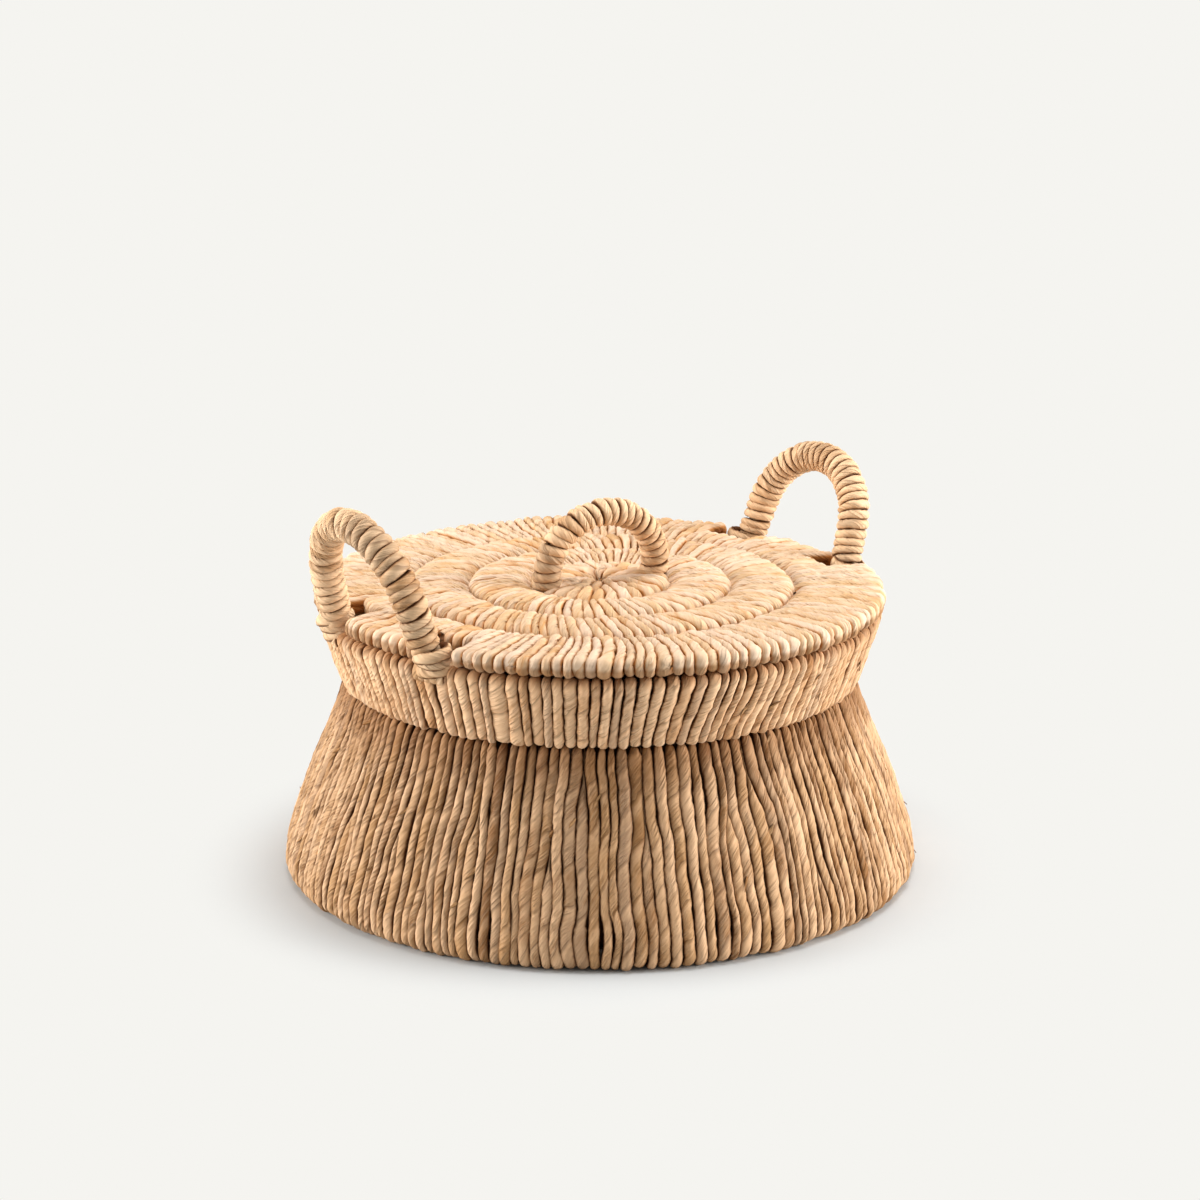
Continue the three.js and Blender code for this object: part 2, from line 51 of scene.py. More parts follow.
rng = np.random.default_rng(7)
MM = 0.001

# Sizes read from the frame
skirt_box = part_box("skirt_weave")
rim_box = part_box("rim_ring")
lid_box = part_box("lid_outer_weave")
floor_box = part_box("floor_weave")
lid_ring_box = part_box("lid_ring_1")
base_radius = skirt_box[1].y
neck_z = skirt_box[1].z
rim_z = (rim_box[0].z + rim_box[1].z) / 2
rim_wire = 2 * MM
rim_radius = rim_box[1].y - rim_wire
collar_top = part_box("collar_weave")[1].z
lid_low, lid_high, lid_radius = lid_box[0].z, lid_box[1].z, lid_box[1].y
floor_low, floor_high, floor_radius = floor_box[0].z, floor_box[1].z, floor_box[1].y
lid_ring_z = (lid_ring_box[0].z + lid_ring_box[1].z) / 2

# Steps between a cord's points: on the outer wheel, where seen, and where hidden
rim_step, fine_step, plain_step = 2 * MM, 2.4 * MM, 4 * MM

# Walls
neck_radius = 161 * MM
nose = collar_top - rim_z
wall = 2 * nose
foot_roll = 8.3 * MM
foot_radius = base_radius - foot_roll
skirt_profile = np.array([(164.4, 109), (169.8, 95.7), (182.3, 66.7), (192.9, 37.7), (199, 18)]) * MM
skirt_cords, skirt_spares = 164, 32
skirt_depth = 2.9 * MM
collar_cords = 158
collar_depth = 3.1 * MM

# Lid and floor: the radii between their wheels, and the lid's notches round the handles' feet
lid_zones = [2.5 * MM, 44 * MM, 82 * MM, 121 * MM]
lid_dome = 2.5 * MM
floor_zones = [1.5 * MM, 60 * MM, 120 * MM, floor_radius]
floor_cords = (44, 90, 140)
notch_half = 16 * MM
notch_inner = 150 * MM
short_rim = 169.6 * MM
short_rim_sag = 2.4 * MM
short_rim_reach = 2 * MM

# How unevenly cords lie side by side: their widths, slow drift, gaps, and steps at new leaves
skirt_spread = {"jitter": 0.17, "drift": 0.035, "gaps": 0.48, "step": 0.35}
collar_spread = {"jitter": 0.16, "drift": 0.08, "gaps": 0.3, "step": 0.25}
lid_spread = {"jitter": 0.15, "drift": 0.06, "gaps": 0.12, "step": 0.2}
hidden_spread = {"jitter": 0.1, "drift": 0.03, "gaps": 0.1, "step": 0.2}

# How a ring's cords are formed: sides round each, spare width, lumps, and how unevenly they lie
skirt_form = {"sides": 12, "spare": 1.02, "lump": 0.045}
lid_form = {"lump": 0.075, "lift": 0.4 * MM}
hidden_form = {"sides": 8, "spare": 1.03}

# Handles, as in the frame
side_handle = {
    "foot": 161.8 * MM,
    "half_span": 42.5 * MM,
    "splay": 7.5 * MM,
    "leg": 34.3 * MM,
    "radius": 10.2 * MM,
    "turns": 33,
}
right_handle = side_handle | {"rise": 75.3 * MM, "lean": math.radians(18.7)}
left_handle = side_handle | {"rise": 84.3 * MM, "lean": math.radians(16)}
lid_handle = {
    "half_span": 37 * MM,
    "splay": 0,
    "leg": 13.8 * MM,
    "rise": 51.3 * MM,
    "lean": math.radians(8),
    "radius": 8.8 * MM,
    "turns": 23,
}
lid_handle_turn = math.radians(-13)
winding_depth = 2.9 * MM
foot_angle = math.atan2(side_handle["half_span"] + side_handle["splay"], side_handle["foot"])

# Where a new leaf begins on each handle's winding, as (share of the length, seed)
leaf_shares = {
    "right": [(0, 0.33), (0.22, 0.06), (0.41, 0.52), (0.63, 0.34), (0.8, 0.62)],
    "left": [(0, 0.32), (0.2, 0.07), (0.42, 0.5), (0.52, 0.945), (0.7, 0.53), (0.83, 0.66), (0.93, 0.3)],
    "lid": [(0, 0.81), (0.18, 0.5), (0.35, 0.08), (0.62, 0.35), (0.85, 0.66)],
}

# Camera as fitted to the photograph, background, and where the lamps aim
camera_azimuth = math.radians(-38.5)
camera_distance = 1.7683
camera_height = 0.64686
camera_pitch = math.radians(17.48)
photo_size = 1200
focal_pixels = 2932.14
centre_row = 721.66
sensor = 36
background = (0.913, 0.905, 0.871, 1)
lamp_aim = Vector((0, 0, 120 * MM))


# Lines and noise


def smooth_line(points, per=10):
    """A rounded line through a few (radius, height) points."""
    p = np.array([points[0], *points, points[-1]], float)
    p[0] = 2 * p[1] - p[2]
    p[-1] = 2 * p[-2] - p[-3]
    t = np.linspace(0, 1, per, endpoint=False)[:, None]
    out = []
    for i in range(1, len(p) - 2):
        a, b, c, d = p[i - 1 : i + 3]
        square, cube = 2 * a - 5 * b + 4 * c - d, 3 * b - a - 3 * c + d
        out.append(0.5 * (2 * b + (c - a) * t + square * t**2 + cube * t**3))
    return np.vstack([*out, p[-2:-1]])


def arc_line(centre, radius, start, end, steps=8):
    """Points of an arc, its angles in degrees from outwards, anticlockwise."""
    t = np.radians(np.linspace(start, end, steps + 1))
    return np.stack([centre[0] + radius * np.cos(t), centre[1] + radius * np.sin(t)], 1)


def evenly(line, spacing):
    """The same line with points at an even spacing."""
    length = np.r_[0, np.cumsum(np.linalg.norm(np.diff(line, axis=0), axis=1))]
    at = np.linspace(0, length[-1], max(2, round(length[-1] / spacing) + 1))
    return np.stack([np.interp(at, length, line[:, k]) for k in range(line.shape[1])], 1)


def turned_normals(line):
    """Outward normals of a line that runs clockwise, seen with outwards to the right."""
    ahead = np.gradient(line, axis=0)
    normal = np.stack([-ahead[:, 1], ahead[:, 0]], 1)
    return normal / np.linalg.norm(normal, axis=1, keepdims=True)


def wander(rows, length, every, size=1.0):
    """Smooth random numbers along each row, with a new one every few steps."""
    knots = max(4, int(length / every) + 3)
    values = rng.normal(0, size, (rows, knots))
    at = np.linspace(0, knots - 1.001, length)
    i = at.astype(int)
    t = at - i
    t = t * t * (3 - 2 * t)
    return values[:, i] * (1 - t) + values[:, np.minimum(i + 1, knots - 1)] * t


def nearest_turn(angles, to):
    """How far each angle is from one angle, between minus and plus half a turn."""
    return (angles - to + math.pi) % (2 * math.pi) - math.pi


# Meshes of many cords


def bake_places(cords, quads, length, girth, sides):
    """Each face's place on the bake's picture: cords cut into strips, the strips side by side."""
    side_margin, end_margin = 0.05, 0.01
    side = math.sqrt(cords * length * girth)
    folds = max(1, round(length / side))
    columns = max(1, round(side / girth))
    per = math.ceil(quads / folds)
    rows = math.ceil(cords * folds / columns)
    number = np.arange(quads)
    strip = np.arange(cords)[:, None] * folds + number // per
    wide, tall = 1 - 2 * side_margin, 1 - 2 * end_margin
    x = (strip % columns)[..., None] + side_margin + wide * np.arange(sides + 1) / sides
    y = strip // columns + end_margin + tall * (number % per) / per
    low, high = y / rows, (y + tall / per) / rows
    return x / columns, low, high


def corner_pairs(x, low, high):
    """UV pairs of every side face's corners, from x at the corners and y at both ends."""
    first, second = x[..., :-1], x[..., 1:]
    low = np.broadcast_to(low[..., None], first.shape)
    high = np.broadcast_to(high[..., None], first.shape)
    corners = [(first, low), (second, low), (second, high), (first, high)]
    return np.stack([np.stack(c, -1) for c in corners], 3)


def set_uv(mesh, name, corners):
    """Writes a UV map: the side faces' corners, then the two caps' along the strips' ends."""
    first = corners[:, 0, :, 0][:, ::-1]
    last = corners[:, -1, :, 3]
    whole = np.vstack([corners.reshape(-1, 2), first.reshape(-1, 2), last.reshape(-1, 2)])
    layer = mesh.uv_layers.new(name=name)
    layer.uv.foreach_set("vector", whole.astype(np.float32).ravel())


def cord_frames(paths, normals):
    """Unit vectors across and out of each cord at each point, and the length up to it."""
    ahead = np.gradient(paths, axis=1)
    ahead /= np.linalg.norm(ahead, axis=2, keepdims=True)
    normals = normals - ahead * (normals * ahead).sum(2, keepdims=True)
    normals /= np.linalg.norm(normals, axis=2, keepdims=True)
    step = np.linalg.norm(np.diff(paths, axis=1), axis=2)
    along = np.concatenate([np.zeros((len(paths), 1)), np.cumsum(step, 1)], 1)
    return np.cross(ahead, normals), normals, along


def lumps(along, turn, size):
    """Uneven thickness along and round each cord, about 1."""
    cords = len(along)
    phase = rng.uniform(0, 2 * math.pi, (3, cords, 1, 1))
    way = 2 * math.pi * along[:, :, None] / rng.uniform(11 * MM, 22 * MM, (cords, 1, 1))
    bumps = np.sin(way + turn + phase[0]) + 0.7 * np.sin(1.9 * way + 2 * turn + phase[1])
    bumps += 0.5 * np.sin(3.3 * way + 3 * turn + phase[2])
    return 1 + size * bumps


def tube_faces(cords, count, sides):
    """Quads round every cord, then all first caps and all last caps."""
    base = (np.arange(cords) * count * sides)[:, None, None]
    i = np.arange(count - 1)[None, :, None] * sides
    j = np.arange(sides)[None, None, :]
    k = (j + 1) % sides
    quads = np.stack([base + i + j, base + i + k, base + i + sides + k, base + i + sides + j], -1)
    ends = base[:, 0] + np.arange(sides)
    last = ends + (count - 1) * sides
    return quads.reshape(-1, 4).tolist() + ends[:, ::-1].tolist() + last.tolist()


def cord_mesh(name, paths, normals, half_width, half_depth, sides=10, lump=0.06, seeds=None):
    """One piece of many cords. paths and normals are (cords, points, 3)."""
    cords, count, _ = paths.shape
    across, normals, along = cord_frames(paths, normals)
    turn = -math.pi / 2 + 2 * math.pi * np.arange(sides) / sides
    swell = lumps(along, turn, lump)
    w = half_width[:, :, None] * np.cos(turn) * swell
    d = half_depth[:, :, None] * np.sin(turn) * swell
    points = paths[:, :, None] + across[:, :, None] * w[..., None] + normals[:, :, None] * d[..., None]
    mesh = bpy.data.meshes.new(name)
    mesh.from_pydata(points.reshape(-1, 3), [], tube_faces(cords, count, sides))
    around = np.broadcast_to(np.arange(sides + 1) / sides, (cords, count - 1, sides + 1))
    set_uv(mesh, "Cord", corner_pairs(around, along[:, :-1], along[:, 1:])[..., ::-1])
    girth = 2 * math.pi * half_width.mean()
    places = bake_places(cords, count - 1, along[:, -1].mean(), girth, sides)
    set_uv(mesh, "OFBake", corner_pairs(*places))
    if seeds is None:
        seeds = np.repeat(rng.uniform(0, 1, (cords, 1)), count, 1)
    tone = mesh.attributes.new("seed", "FLOAT", "FACE")
    whole = np.r_[np.repeat(seeds[:, :-1].ravel(), sides), seeds[:, 0], seeds[:, -1]]
    tone.data.foreach_set("value", whole.astype(np.float32))
    mesh.shade_smooth()
    piece = bpy.data.objects.new(name, mesh)
    bpy.context.scene.collection.objects.link(piece)
    return piece


# Rings of cord


def joins(cords, points, spacing, size):
    """A step in each cord's width where a new leaf was twisted in, fading along the cord."""
    along = np.arange(points) * spacing
    swell = np.ones((cords, points))
    for _ in range(2):
        past = along - rng.uniform(-30 * MM, max(along[-1], 60 * MM), (cords, 1))
        fade = np.exp(-np.maximum(past, 0) / (25 * MM)) * (past > 0)
        swell += rng.uniform(-0.5, 1, (cords, 1)) * size * fade
    return swell


def beside(cords, points, spacing, jitter, drift, gaps, step, cut=1.0):
    """Each cord's place round a ring and its width, as shares of the turn, at each point.

    Most of the drift that neighbours share is taken off, so that no cord goes far astray."""
    neighbours, taken_off = 6, 0.88
    slow = max(3, round(70 * MM / spacing))
    quick = max(2, round(11 * MM / spacing))
    room = cut * np.exp(rng.normal(0, jitter, (cords, 1)) + wander(cords, points, slow, drift))
    slack = np.maximum(0, wander(cords, points, slow, gaps) - 1.2 * gaps)
    total = (room + slack).sum(0, keepdims=True)
    middles = (np.cumsum(room + slack, 0) - (room + slack) / 2) / total
    settled = middles.mean(1, keepdims=True)
    shift = middles - settled
    near = sum(np.roll(shift, k, 0) for k in range(-neighbours, neighbours + 1))
    middles = settled + shift - taken_off * (near / (2 * neighbours + 1))
    widths = room / total * np.exp(wander(cords, points, quick, 0.045))
    return middles, widths * joins(cords, points, spacing, step)


def round_ring(
    name, line, angles, widths, depth, sides=10, spare=1.0, lump=0.06, lift=0.3 * MM, sunk=0.0, moved=None
):
    """Cords laid side by side along a (radius, height) surface line at (cords, points) angles.

    depth is half a cord's thickness, and sunk is how far it lies below the surface."""
    normal = turned_normals(line)
    uneven = rng.normal(0, lift, (len(angles), 1)) + wander(len(angles), len(line), 8, lift)
    down = depth + sunk + uneven
    radius = line[:, 0] - normal[:, 0] * down
    height = line[:, 1] - normal[:, 1] * down
    c, s = np.cos(angles), np.sin(angles)
    paths = np.stack([radius * c, radius * s, height], -1)
    if moved is not None:
        paths += moved
    normals = np.stack([normal[:, 0] * c, normal[:, 0] * s, np.broadcast_to(normal[:, 1], c.shape)], -1)
    half = np.maximum(line[:, 0] * widths * math.pi * spare, 0.7 * MM)
    return cord_mesh(name, paths, normals, half, np.full(half.shape, depth), sides, lump)


def finish_piece(piece, body, look, slot, *nodes):
    """Gives a piece its material and body, and puts it in place of the named nodes. slot is not used."""
    piece.data.materials.append(look)
    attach(piece, body)
    if nodes:
        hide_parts(*nodes)


# Materials


class Nodes:
    """Short ways to add and join the shader nodes of a material or a world."""

    def __init__(self, owner):
        owner.use_nodes = True
        self.owner = owner
        self.tree = owner.node_tree
        self.tree.nodes.clear()

    def fill(self, node, inputs):
        for key, value in inputs.items():
            if isinstance(value, bpy.types.NodeSocket):
                self.tree.links.new(value, node.inputs[key])
            else:
                node.inputs[key].default_value = value

    def add(self, kind, inputs=None, **settings):
        node = self.tree.nodes.new(kind)
        for key, value in settings.items():
            setattr(node, key, value)
        self.fill(node, inputs or {})
        return node

    def math(self, operation, a, b=0.0, c=0.0):
        return self.add("ShaderNodeMath", {0: a, 1: b, 2: c}, operation=operation).outputs[0]

    def times(self, a, b):
        return self.math("MULTIPLY", a, b)

    def shuffled(self, seed, by):
        """Another number between 0 and 1 for each seed."""
        return self.math("FRACT", self.times(seed, by))

    def ramp(self, value, low, high, first=0.0, last=1.0):
        inputs = {"Value": value, "From Min": low, "From Max": high, "To Min": first, "To Max": last}
        return self.add("ShaderNodeMapRange", inputs, interpolation_type="SMOOTHSTEP").outputs[0]

    def noise(self, vector, scale, detail=2.0, rough=0.5):
        inputs = {"Vector": vector, "Scale": scale, "Detail": detail, "Roughness": rough}
        return self.add("ShaderNodeTexNoise", inputs).outputs[0]

    def joined(self, x, y, z):
        return self.add("ShaderNodeCombineXYZ", {0: x, 1: y, 2: z}).outputs[0]

    def mix(self, factor, a, b, blend="MIX"):
        """Mixes two colours. A colour of three numbers is made opaque."""
        a, b = (c if isinstance(c, bpy.types.NodeSocket) else (*c, 1) for c in (a, b))
        node = self.add("ShaderNodeMix", data_type="RGBA", blend_type=blend)
        self.fill(node, {0: factor, 6: a, 7: b})
        return node.outputs[2]

    def surface(self, colour, rough, bump, **shares):
        """Ends a material with one shader."""
        inputs = {"Base Color": colour, "Roughness": rough, "Normal": bump.outputs[0]}
        for key, value in shares.items():
            inputs[key.replace("_", " ")] = value
        shader = self.add("ShaderNodeBsdfPrincipled", inputs)
        self.add("ShaderNodeOutputMaterial", {"Surface": shader.outputs[0]})
        return self.owner


def paler(colour, share):
    """The same colour, made paler by a share above one."""
    return tuple(share * c for c in colour)


def twist_pattern(n, twist):
    """What varies over a twisted cord: its seed, patches, leaves and fibres.

    The cord's UV map holds the length along it, in metres, and the share of the way round. The
    seed also sets each cord's noise far from the others'."""
    split = n.add("ShaderNodeSeparateXYZ", {0: n.add("ShaderNodeUVMap", uv_map="Cord").outputs[0]})
    u, v = split.outputs[0], split.outputs[1]
    seed = n.add("ShaderNodeAttribute", attribute_name="seed").outputs["Fac"]
    far = n.times(seed, 137.0)
    patch = n.noise(n.joined(n.times(u, 40.0), n.times(v, 1.5), far), 1.0)
    pitch = n.math("MULTIPLY_ADD", n.shuffled(seed, 5.7), 0.4 * twist, 0.8 * twist)
    start = n.math("MULTIPLY_ADD", patch, 0.22, n.times(seed, 9.0))
    helix = n.math("ADD", n.math("MULTIPLY_ADD", u, pitch, v), start)
    along = n.math("SUBTRACT", n.times(u, 90.0), v)
    band = n.math("MULTIPLY_ADD", patch, 0.5, helix)
    leaf_at = n.joined(n.math("FLOOR", band), far, 0.0)
    blot_at = n.joined(n.times(u, 26.0), n.times(v, 2.0), n.math("ADD", far, 31.0))
    return SimpleNamespace(
        seed=seed,
        patch=patch,
        wrinkled=n.ramp(patch, 0.48, 0.64, 0.26, 1.0),
        leaf=n.add("ShaderNodeTexWhiteNoise", {0: leaf_at}).outputs["Value"],
        across=n.math("FRACT", band),
        fibre=n.noise(n.joined(n.times(helix, 14.0), n.times(along, 0.4), far), 1.0, 1.5),
        coarse=n.noise(n.joined(n.times(helix, 9.0), n.times(along, 0.35), far), 1.0),
        blot=n.noise(blot_at, 1.0, 3.0),
        side=n.math("ABSOLUTE", n.math("SUBTRACT", v, 0.5)),
    )


def crease_line(n, at):
    """A thin line here and there along a coarse fibre."""
    line = n.ramp(n.math("ABSOLUTE", n.math("SUBTRACT", at.coarse, 0.44)), 0.0, 0.025, 1.0, 0.0)
    return n.times(line, n.ramp(at.patch, 0.45, 0.62))


def leaf_colour(n, at, pale, middle, dark, stain):
    """The cord's own tone: leaf by leaf, with a few dusty and a few brown cords."""
    tone = n.math("ADD", n.times(at.seed, 0.45), n.times(at.patch, 0.5))
    tone = n.math("MULTIPLY_ADD", at.leaf, 0.3, tone)
    colour = n.mix(n.ramp(tone, 0.35, 0.95), pale, middle)
    dusty = n.ramp(n.shuffled(at.seed, 7.3), 0.7, 0.95, 0.0, 0.75)
    colour = n.mix(dusty, colour, stain)
    brown = n.ramp(n.shuffled(at.seed, 13.1), 0.72, 0.95, 0.0, 0.6)
    return n.mix(n.times(brown, n.ramp(at.patch, 0.3, 0.6)), colour, dark)


def fibre_marks(n, at, colour, line, pale, dark, stain, grain):
    """Folds, creases and pale fibres along the twist, then stains."""
    fold = n.times(n.ramp(at.coarse, 0.48, 0.7, 0.0, 0.45 * grain), at.wrinkled)
    colour = n.mix(fold, colour, dark)
    crease = n.times(n.ramp(at.fibre, 0.5, 0.6, 0.0, 0.6 * grain), at.wrinkled)
    colour = n.mix(crease, colour, dark)
    colour = n.mix(n.ramp(at.fibre, 0.38, 0.46, 0.22 * grain, 0.0), colour, paler(pale, 1.15))
    colour = n.mix(n.times(line, 0.5 * grain), colour, dark)
    return n.mix(n.ramp(at.blot, 0.6, 0.72, 0.0, 0.65), colour, stain)


def edge_marks(n, at, colour, pale, dark, crevice_shade, grain, edges):
    """A painted highlight and a painted shadow line at the turned-over edge of each leaf, and painted
    shade in the crevice on both sides of the cord.
    """
    # Painted highlight just past each leaf's edge
    painted_leaf_highlight = n.times(n.ramp(at.across, 0.08, 0.16), n.ramp(at.across, 0.16, 0.45, 0.4, 0.0))
    colour = n.mix(painted_leaf_highlight, colour, paler(pale, 1.12))
    # Painted shadow line along each leaf's edge
    painted_edge_shadow = n.times(n.ramp(at.across, 0.0, 0.12, 1.0, 0.0), n.ramp(at.coarse, 0.3, 0.5))
    colour = n.mix(n.times(painted_edge_shadow, 0.25 + 0.3 * grain), colour, crevice_shade)
    first, last, strength = edges
    # Painted shade down the cord's sides, darkest in the crevice between cords
    side = n.math("MULTIPLY_ADD", n.math("SUBTRACT", at.coarse, 0.5), 0.05, at.side)
    colour = n.mix(n.ramp(side, first - 0.04, last, 0.0, 0.65), colour, dark)
    return n.mix(n.ramp(side, first, last, 0.0, strength), colour, crevice_shade)


def painted_height_shade(n, colour, shade_from, shade_to, shade_kept):
    """Painted shade by height: darkens a colour between two heights, the first unshaded, the second
    darkest, down to the shares given.
    """
    place = n.add("ShaderNodeTexCoord").outputs["Object"]
    level = n.add("ShaderNodeSeparateXYZ", {0: place}).outputs[2]
    return n.mix(n.ramp(level, shade_from, shade_to), colour, shade_kept, "MULTIPLY")


def cord_relief(n, at, line, grain):
    """Fibres, wrinkles and the step at each leaf's edge."""
    step = n.times(n.math("POWER", at.across, 0.5), n.ramp(at.coarse, 0.2, 0.7))
    ridges = n.times(n.math("ADD", at.fibre, at.coarse), 0.15 + 0.4 * grain)
    height = n.math("MULTIPLY_ADD", step, 0.7, n.times(ridges, n.math("ADD", at.wrinkled, 0.15)))
    height = n.math("MULTIPLY_ADD", line, -0.35 * grain, height)
    return n.add("ShaderNodeBump", {"Height": height, "Strength": 0.9, "Distance": 1.6 * MM})


def cord_material(name, pale, middle, dark, stain, crevice_shade, twist, grain, edges, height_shade=None):
    """Twisted leaf cord.

    twist is in turns to a metre, and grain is the strength of the fibres. edges are where the
    painted shade of each crevice starts and ends, as shares of the way round from the middle, and
    its strength. The painted shade by height gives where the cord is unshaded, where it is
    darkest, and the shares that its colour keeps there."""
    n = Nodes(bpy.data.materials.new(name))
    at = twist_pattern(n, twist)
    line = crease_line(n, at)
    colour = leaf_colour(n, at, pale, middle, dark, stain)
    colour = fibre_marks(n, at, colour, line, pale, dark, stain, grain)
    colour = edge_marks(n, at, colour, pale, dark, crevice_shade, grain, edges)
    if height_shade:
        colour = painted_height_shade(n, colour, *height_shade)
    rough = n.ramp(at.fibre, 0.2, 0.8, 0.5, 0.78)
    return n.surface(colour, rough, cord_relief(n, at, line, grain), Specular_IOR_Level=0.14)


def wire_material(name, bright, dark):
    """Drawn wire with a thin dull scale."""
    n = Nodes(bpy.data.materials.new(name))
    spots = n.noise(n.add("ShaderNodeNewGeometry").outputs["Position"], 260.0, 4.0, 0.6)
    colour = n.mix(n.ramp(spots, 0.35, 0.7), bright, dark)
    bump = n.add("ShaderNodeBump", {"Height": spots, "Strength": 0.3, "Distance": 0.2 * MM})
    return n.surface(colour, n.ramp(spots, 0.3, 0.7, 0.35, 0.65), bump, Metallic=0.4)


def stalk_material(name, pale, dark):
    """Bundled dry stalks, seen between the turns of a winding."""
    n = Nodes(bpy.data.materials.new(name))
    streaks = n.noise(n.add("ShaderNodeNewGeometry").outputs["Position"], 420.0, 5.0, 0.65)
    colour = n.mix(n.ramp(streaks, 0.3, 0.7), pale, dark)
    bump = n.add("ShaderNodeBump", {"Height": streaks, "Strength": 0.6, "Distance": 0.6 * MM})
    return n.surface(colour, 0.85, bump)


skirt_look = cord_material(
    "skirt_cord",
    pale=(0.70, 0.44, 0.25),
    middle=(0.50, 0.275, 0.12),
    dark=(0.25, 0.10, 0.025),
    stain=(0.42, 0.26, 0.15),
    crevice_shade=(0.05, 0.012, 0.001),
    twist=40.0,
    grain=0.7,
    edges=(0.125, 0.212, 0.95),
    # Painted shade under the collar's overhang
    height_shade=(neck_z - 38 * MM, neck_z - 3 * MM, (0.62, 0.52, 0.42)),
)
collar_look = cord_material(
    "collar_cord",
    pale=(0.86, 0.56, 0.33),
    middle=(0.75, 0.44, 0.23),
    dark=(0.47, 0.21, 0.07),
    stain=(0.64, 0.42, 0.26),
    crevice_shade=(0.09, 0.024, 0.003),
    twist=50.0,
    grain=0.65,
    edges=(0.135, 0.218, 0.93),
    # Painted shadow of the lid's edge on the collar's top
    height_shade=(collar_top - 9 * MM, collar_top - 1 * MM, (0.62, 0.52, 0.43)),
)
lid_look = cord_material(
    "lid_cord",
    pale=(0.77, 0.57, 0.41),
    middle=(0.715, 0.475, 0.265),
    dark=(0.62, 0.32, 0.11),
    stain=(0.70, 0.51, 0.34),
    # Painted shade in the crevices, orange where light would bounce between the cords
    crevice_shade=(0.54, 0.20, 0.04),
    twist=30.0,
    grain=0.34,
    edges=(0.138, 0.222, 0.78),
    # Painted shade on the lid's edge, darkest towards its lower side
    height_shade=(lid_high - 5 * MM, lid_low + 4 * MM, (0.60, 0.48, 0.37)),
)
wrap_look = cord_material(
    "wrap_cord",
    pale=(0.80, 0.545, 0.33),
    middle=(0.68, 0.42, 0.225),
    dark=(0.42, 0.20, 0.07),
    stain=(0.44, 0.30, 0.185),
    crevice_shade=(0.10, 0.03, 0.007),
    twist=40.0,
    grain=0.55,
    edges=(0.13, 0.215, 0.92),
)
flake_look = cord_material(
    "leaf_end",
    pale=(0.54, 0.30, 0.13),
    middle=(0.42, 0.19, 0.06),
    dark=(0.26, 0.10, 0.025),
    stain=(0.42, 0.25, 0.12),
    crevice_shade=(0.16, 0.06, 0.02),
    twist=42.0,
    grain=1.0,
    edges=(0.14, 0.218, 0.9),
)
wire_look = wire_material("wire", bright=(0.085, 0.06, 0.04), dark=(0.05, 0.028, 0.015))
stalk_look = stalk_material("stalk", pale=(0.42, 0.25, 0.12), dark=(0.16, 0.08, 0.035))


# Leaf ends: short flakes that stick out where a new leaf was twisted in


def make_flakes(name, line, count, span_shares):
    """Flakes on the surface that a (radius, height) line sweeps, within a span of the line."""
    normal = turned_normals(line)
    ahead = np.gradient(line, axis=0)
    ahead /= np.linalg.norm(ahead, axis=1, keepdims=True)
    root_depth, thickness, points = 0.7 * MM, 0.25 * MM, 6
    at = (rng.uniform(*span_shares, count) * (len(line) - 1)).astype(int)
    turn = rng.uniform(0, 2 * math.pi, count)
    out = np.stack([np.cos(turn), np.sin(turn), 0 * turn], 1)
    around = np.stack([-np.sin(turn), np.cos(turn), 0 * turn], 1)
    up = np.array([0, 0, 1])
    raised = normal[at, :1] * out + normal[at, 1:] * up
    down = ahead[at, :1] * out + ahead[at, 1:] * up
    lean = rng.choice([-1, 1], (count, 1)) * rng.uniform(0.7, 1.2, (count, 1))
    heading = np.abs(np.sin(lean)) * down * np.sign(lean) - np.cos(lean) * around * np.sign(lean)
    root = line[at, :1] * out + line[at, 1:] * up - root_depth * raised
    t = np.linspace(0, 1, points)[None, :, None]
    length = rng.uniform(5, 10, (count, 1, 1)) * MM
    curl = rng.uniform(0.5, 2.8, (count, 1, 1)) * MM
    paths = root[:, None] + length * t * heading[:, None] + curl * t**2 * raised[:, None]
    taper = np.sin(math.pi * (0.25 + 0.75 * t[..., 0]))
    half = rng.uniform(0.7, 1.5, (count, 1)) * MM * taper + 0.1 * MM
    normals = np.repeat(raised[:, None], points, 1)
    piece = cord_mesh(name, paths, normals, half, np.full(half.shape, thickness), sides=6)
    finish_piece(piece, "basket", flake_look, "cord")


# Skirt: loops of cord from under the collar, round the foot and up the inside


def skirt_lines():
    """Surface lines down the outside with the foot, and up the inside."""
    outside = smooth_line(
        [
            (neck_radius - 7 * MM, neck_z + 0.5 * MM),
            (neck_radius - 3 * MM, neck_z - 1 * MM),
            (neck_radius - 0.6 * MM, neck_z - 4.5 * MM),
            *skirt_profile,
        ]
    )
    foot = arc_line((foot_radius, foot_roll), foot_roll, -8, -172)
    inside = smooth_line(
        [
            (foot_radius - foot_roll, 12 * MM),
            (foot_radius - foot_roll - 0.6 * MM, 20 * MM),
            *(skirt_profile[3:0:-1] - (wall, 0)),
            (neck_radius - wall, neck_z),
            (neck_radius - wall + 3 * MM, neck_z + 5 * MM),
        ]
    )
    return evenly(np.vstack([outside, foot]), fine_step), evenly(inside, plain_step)


def wedges(cords, spare, points, spacing, reach):
    """Shares of full width: a few cords begin part of the way down and widen from nothing."""
    cut = np.ones((cords, points))
    picked = (np.arange(spare) + rng.uniform(0.1, 0.9, spare)) * cords / spare
    past = np.arange(points) * spacing - rng.uniform(0.1, 0.85, (spare, 1)) * reach
    cut[picked.astype(int)] = np.clip(past / (22 * MM), 0, 1)
    return cut


def rounded_tips(points, spacing):
    """Shares of full width near the cords' upper ends."""
    return np.interp(np.arange(points) * spacing, [2 * MM, 5 * MM, 7.5 * MM, 10 * MM], [0.5, 0.8, 0.94, 1])


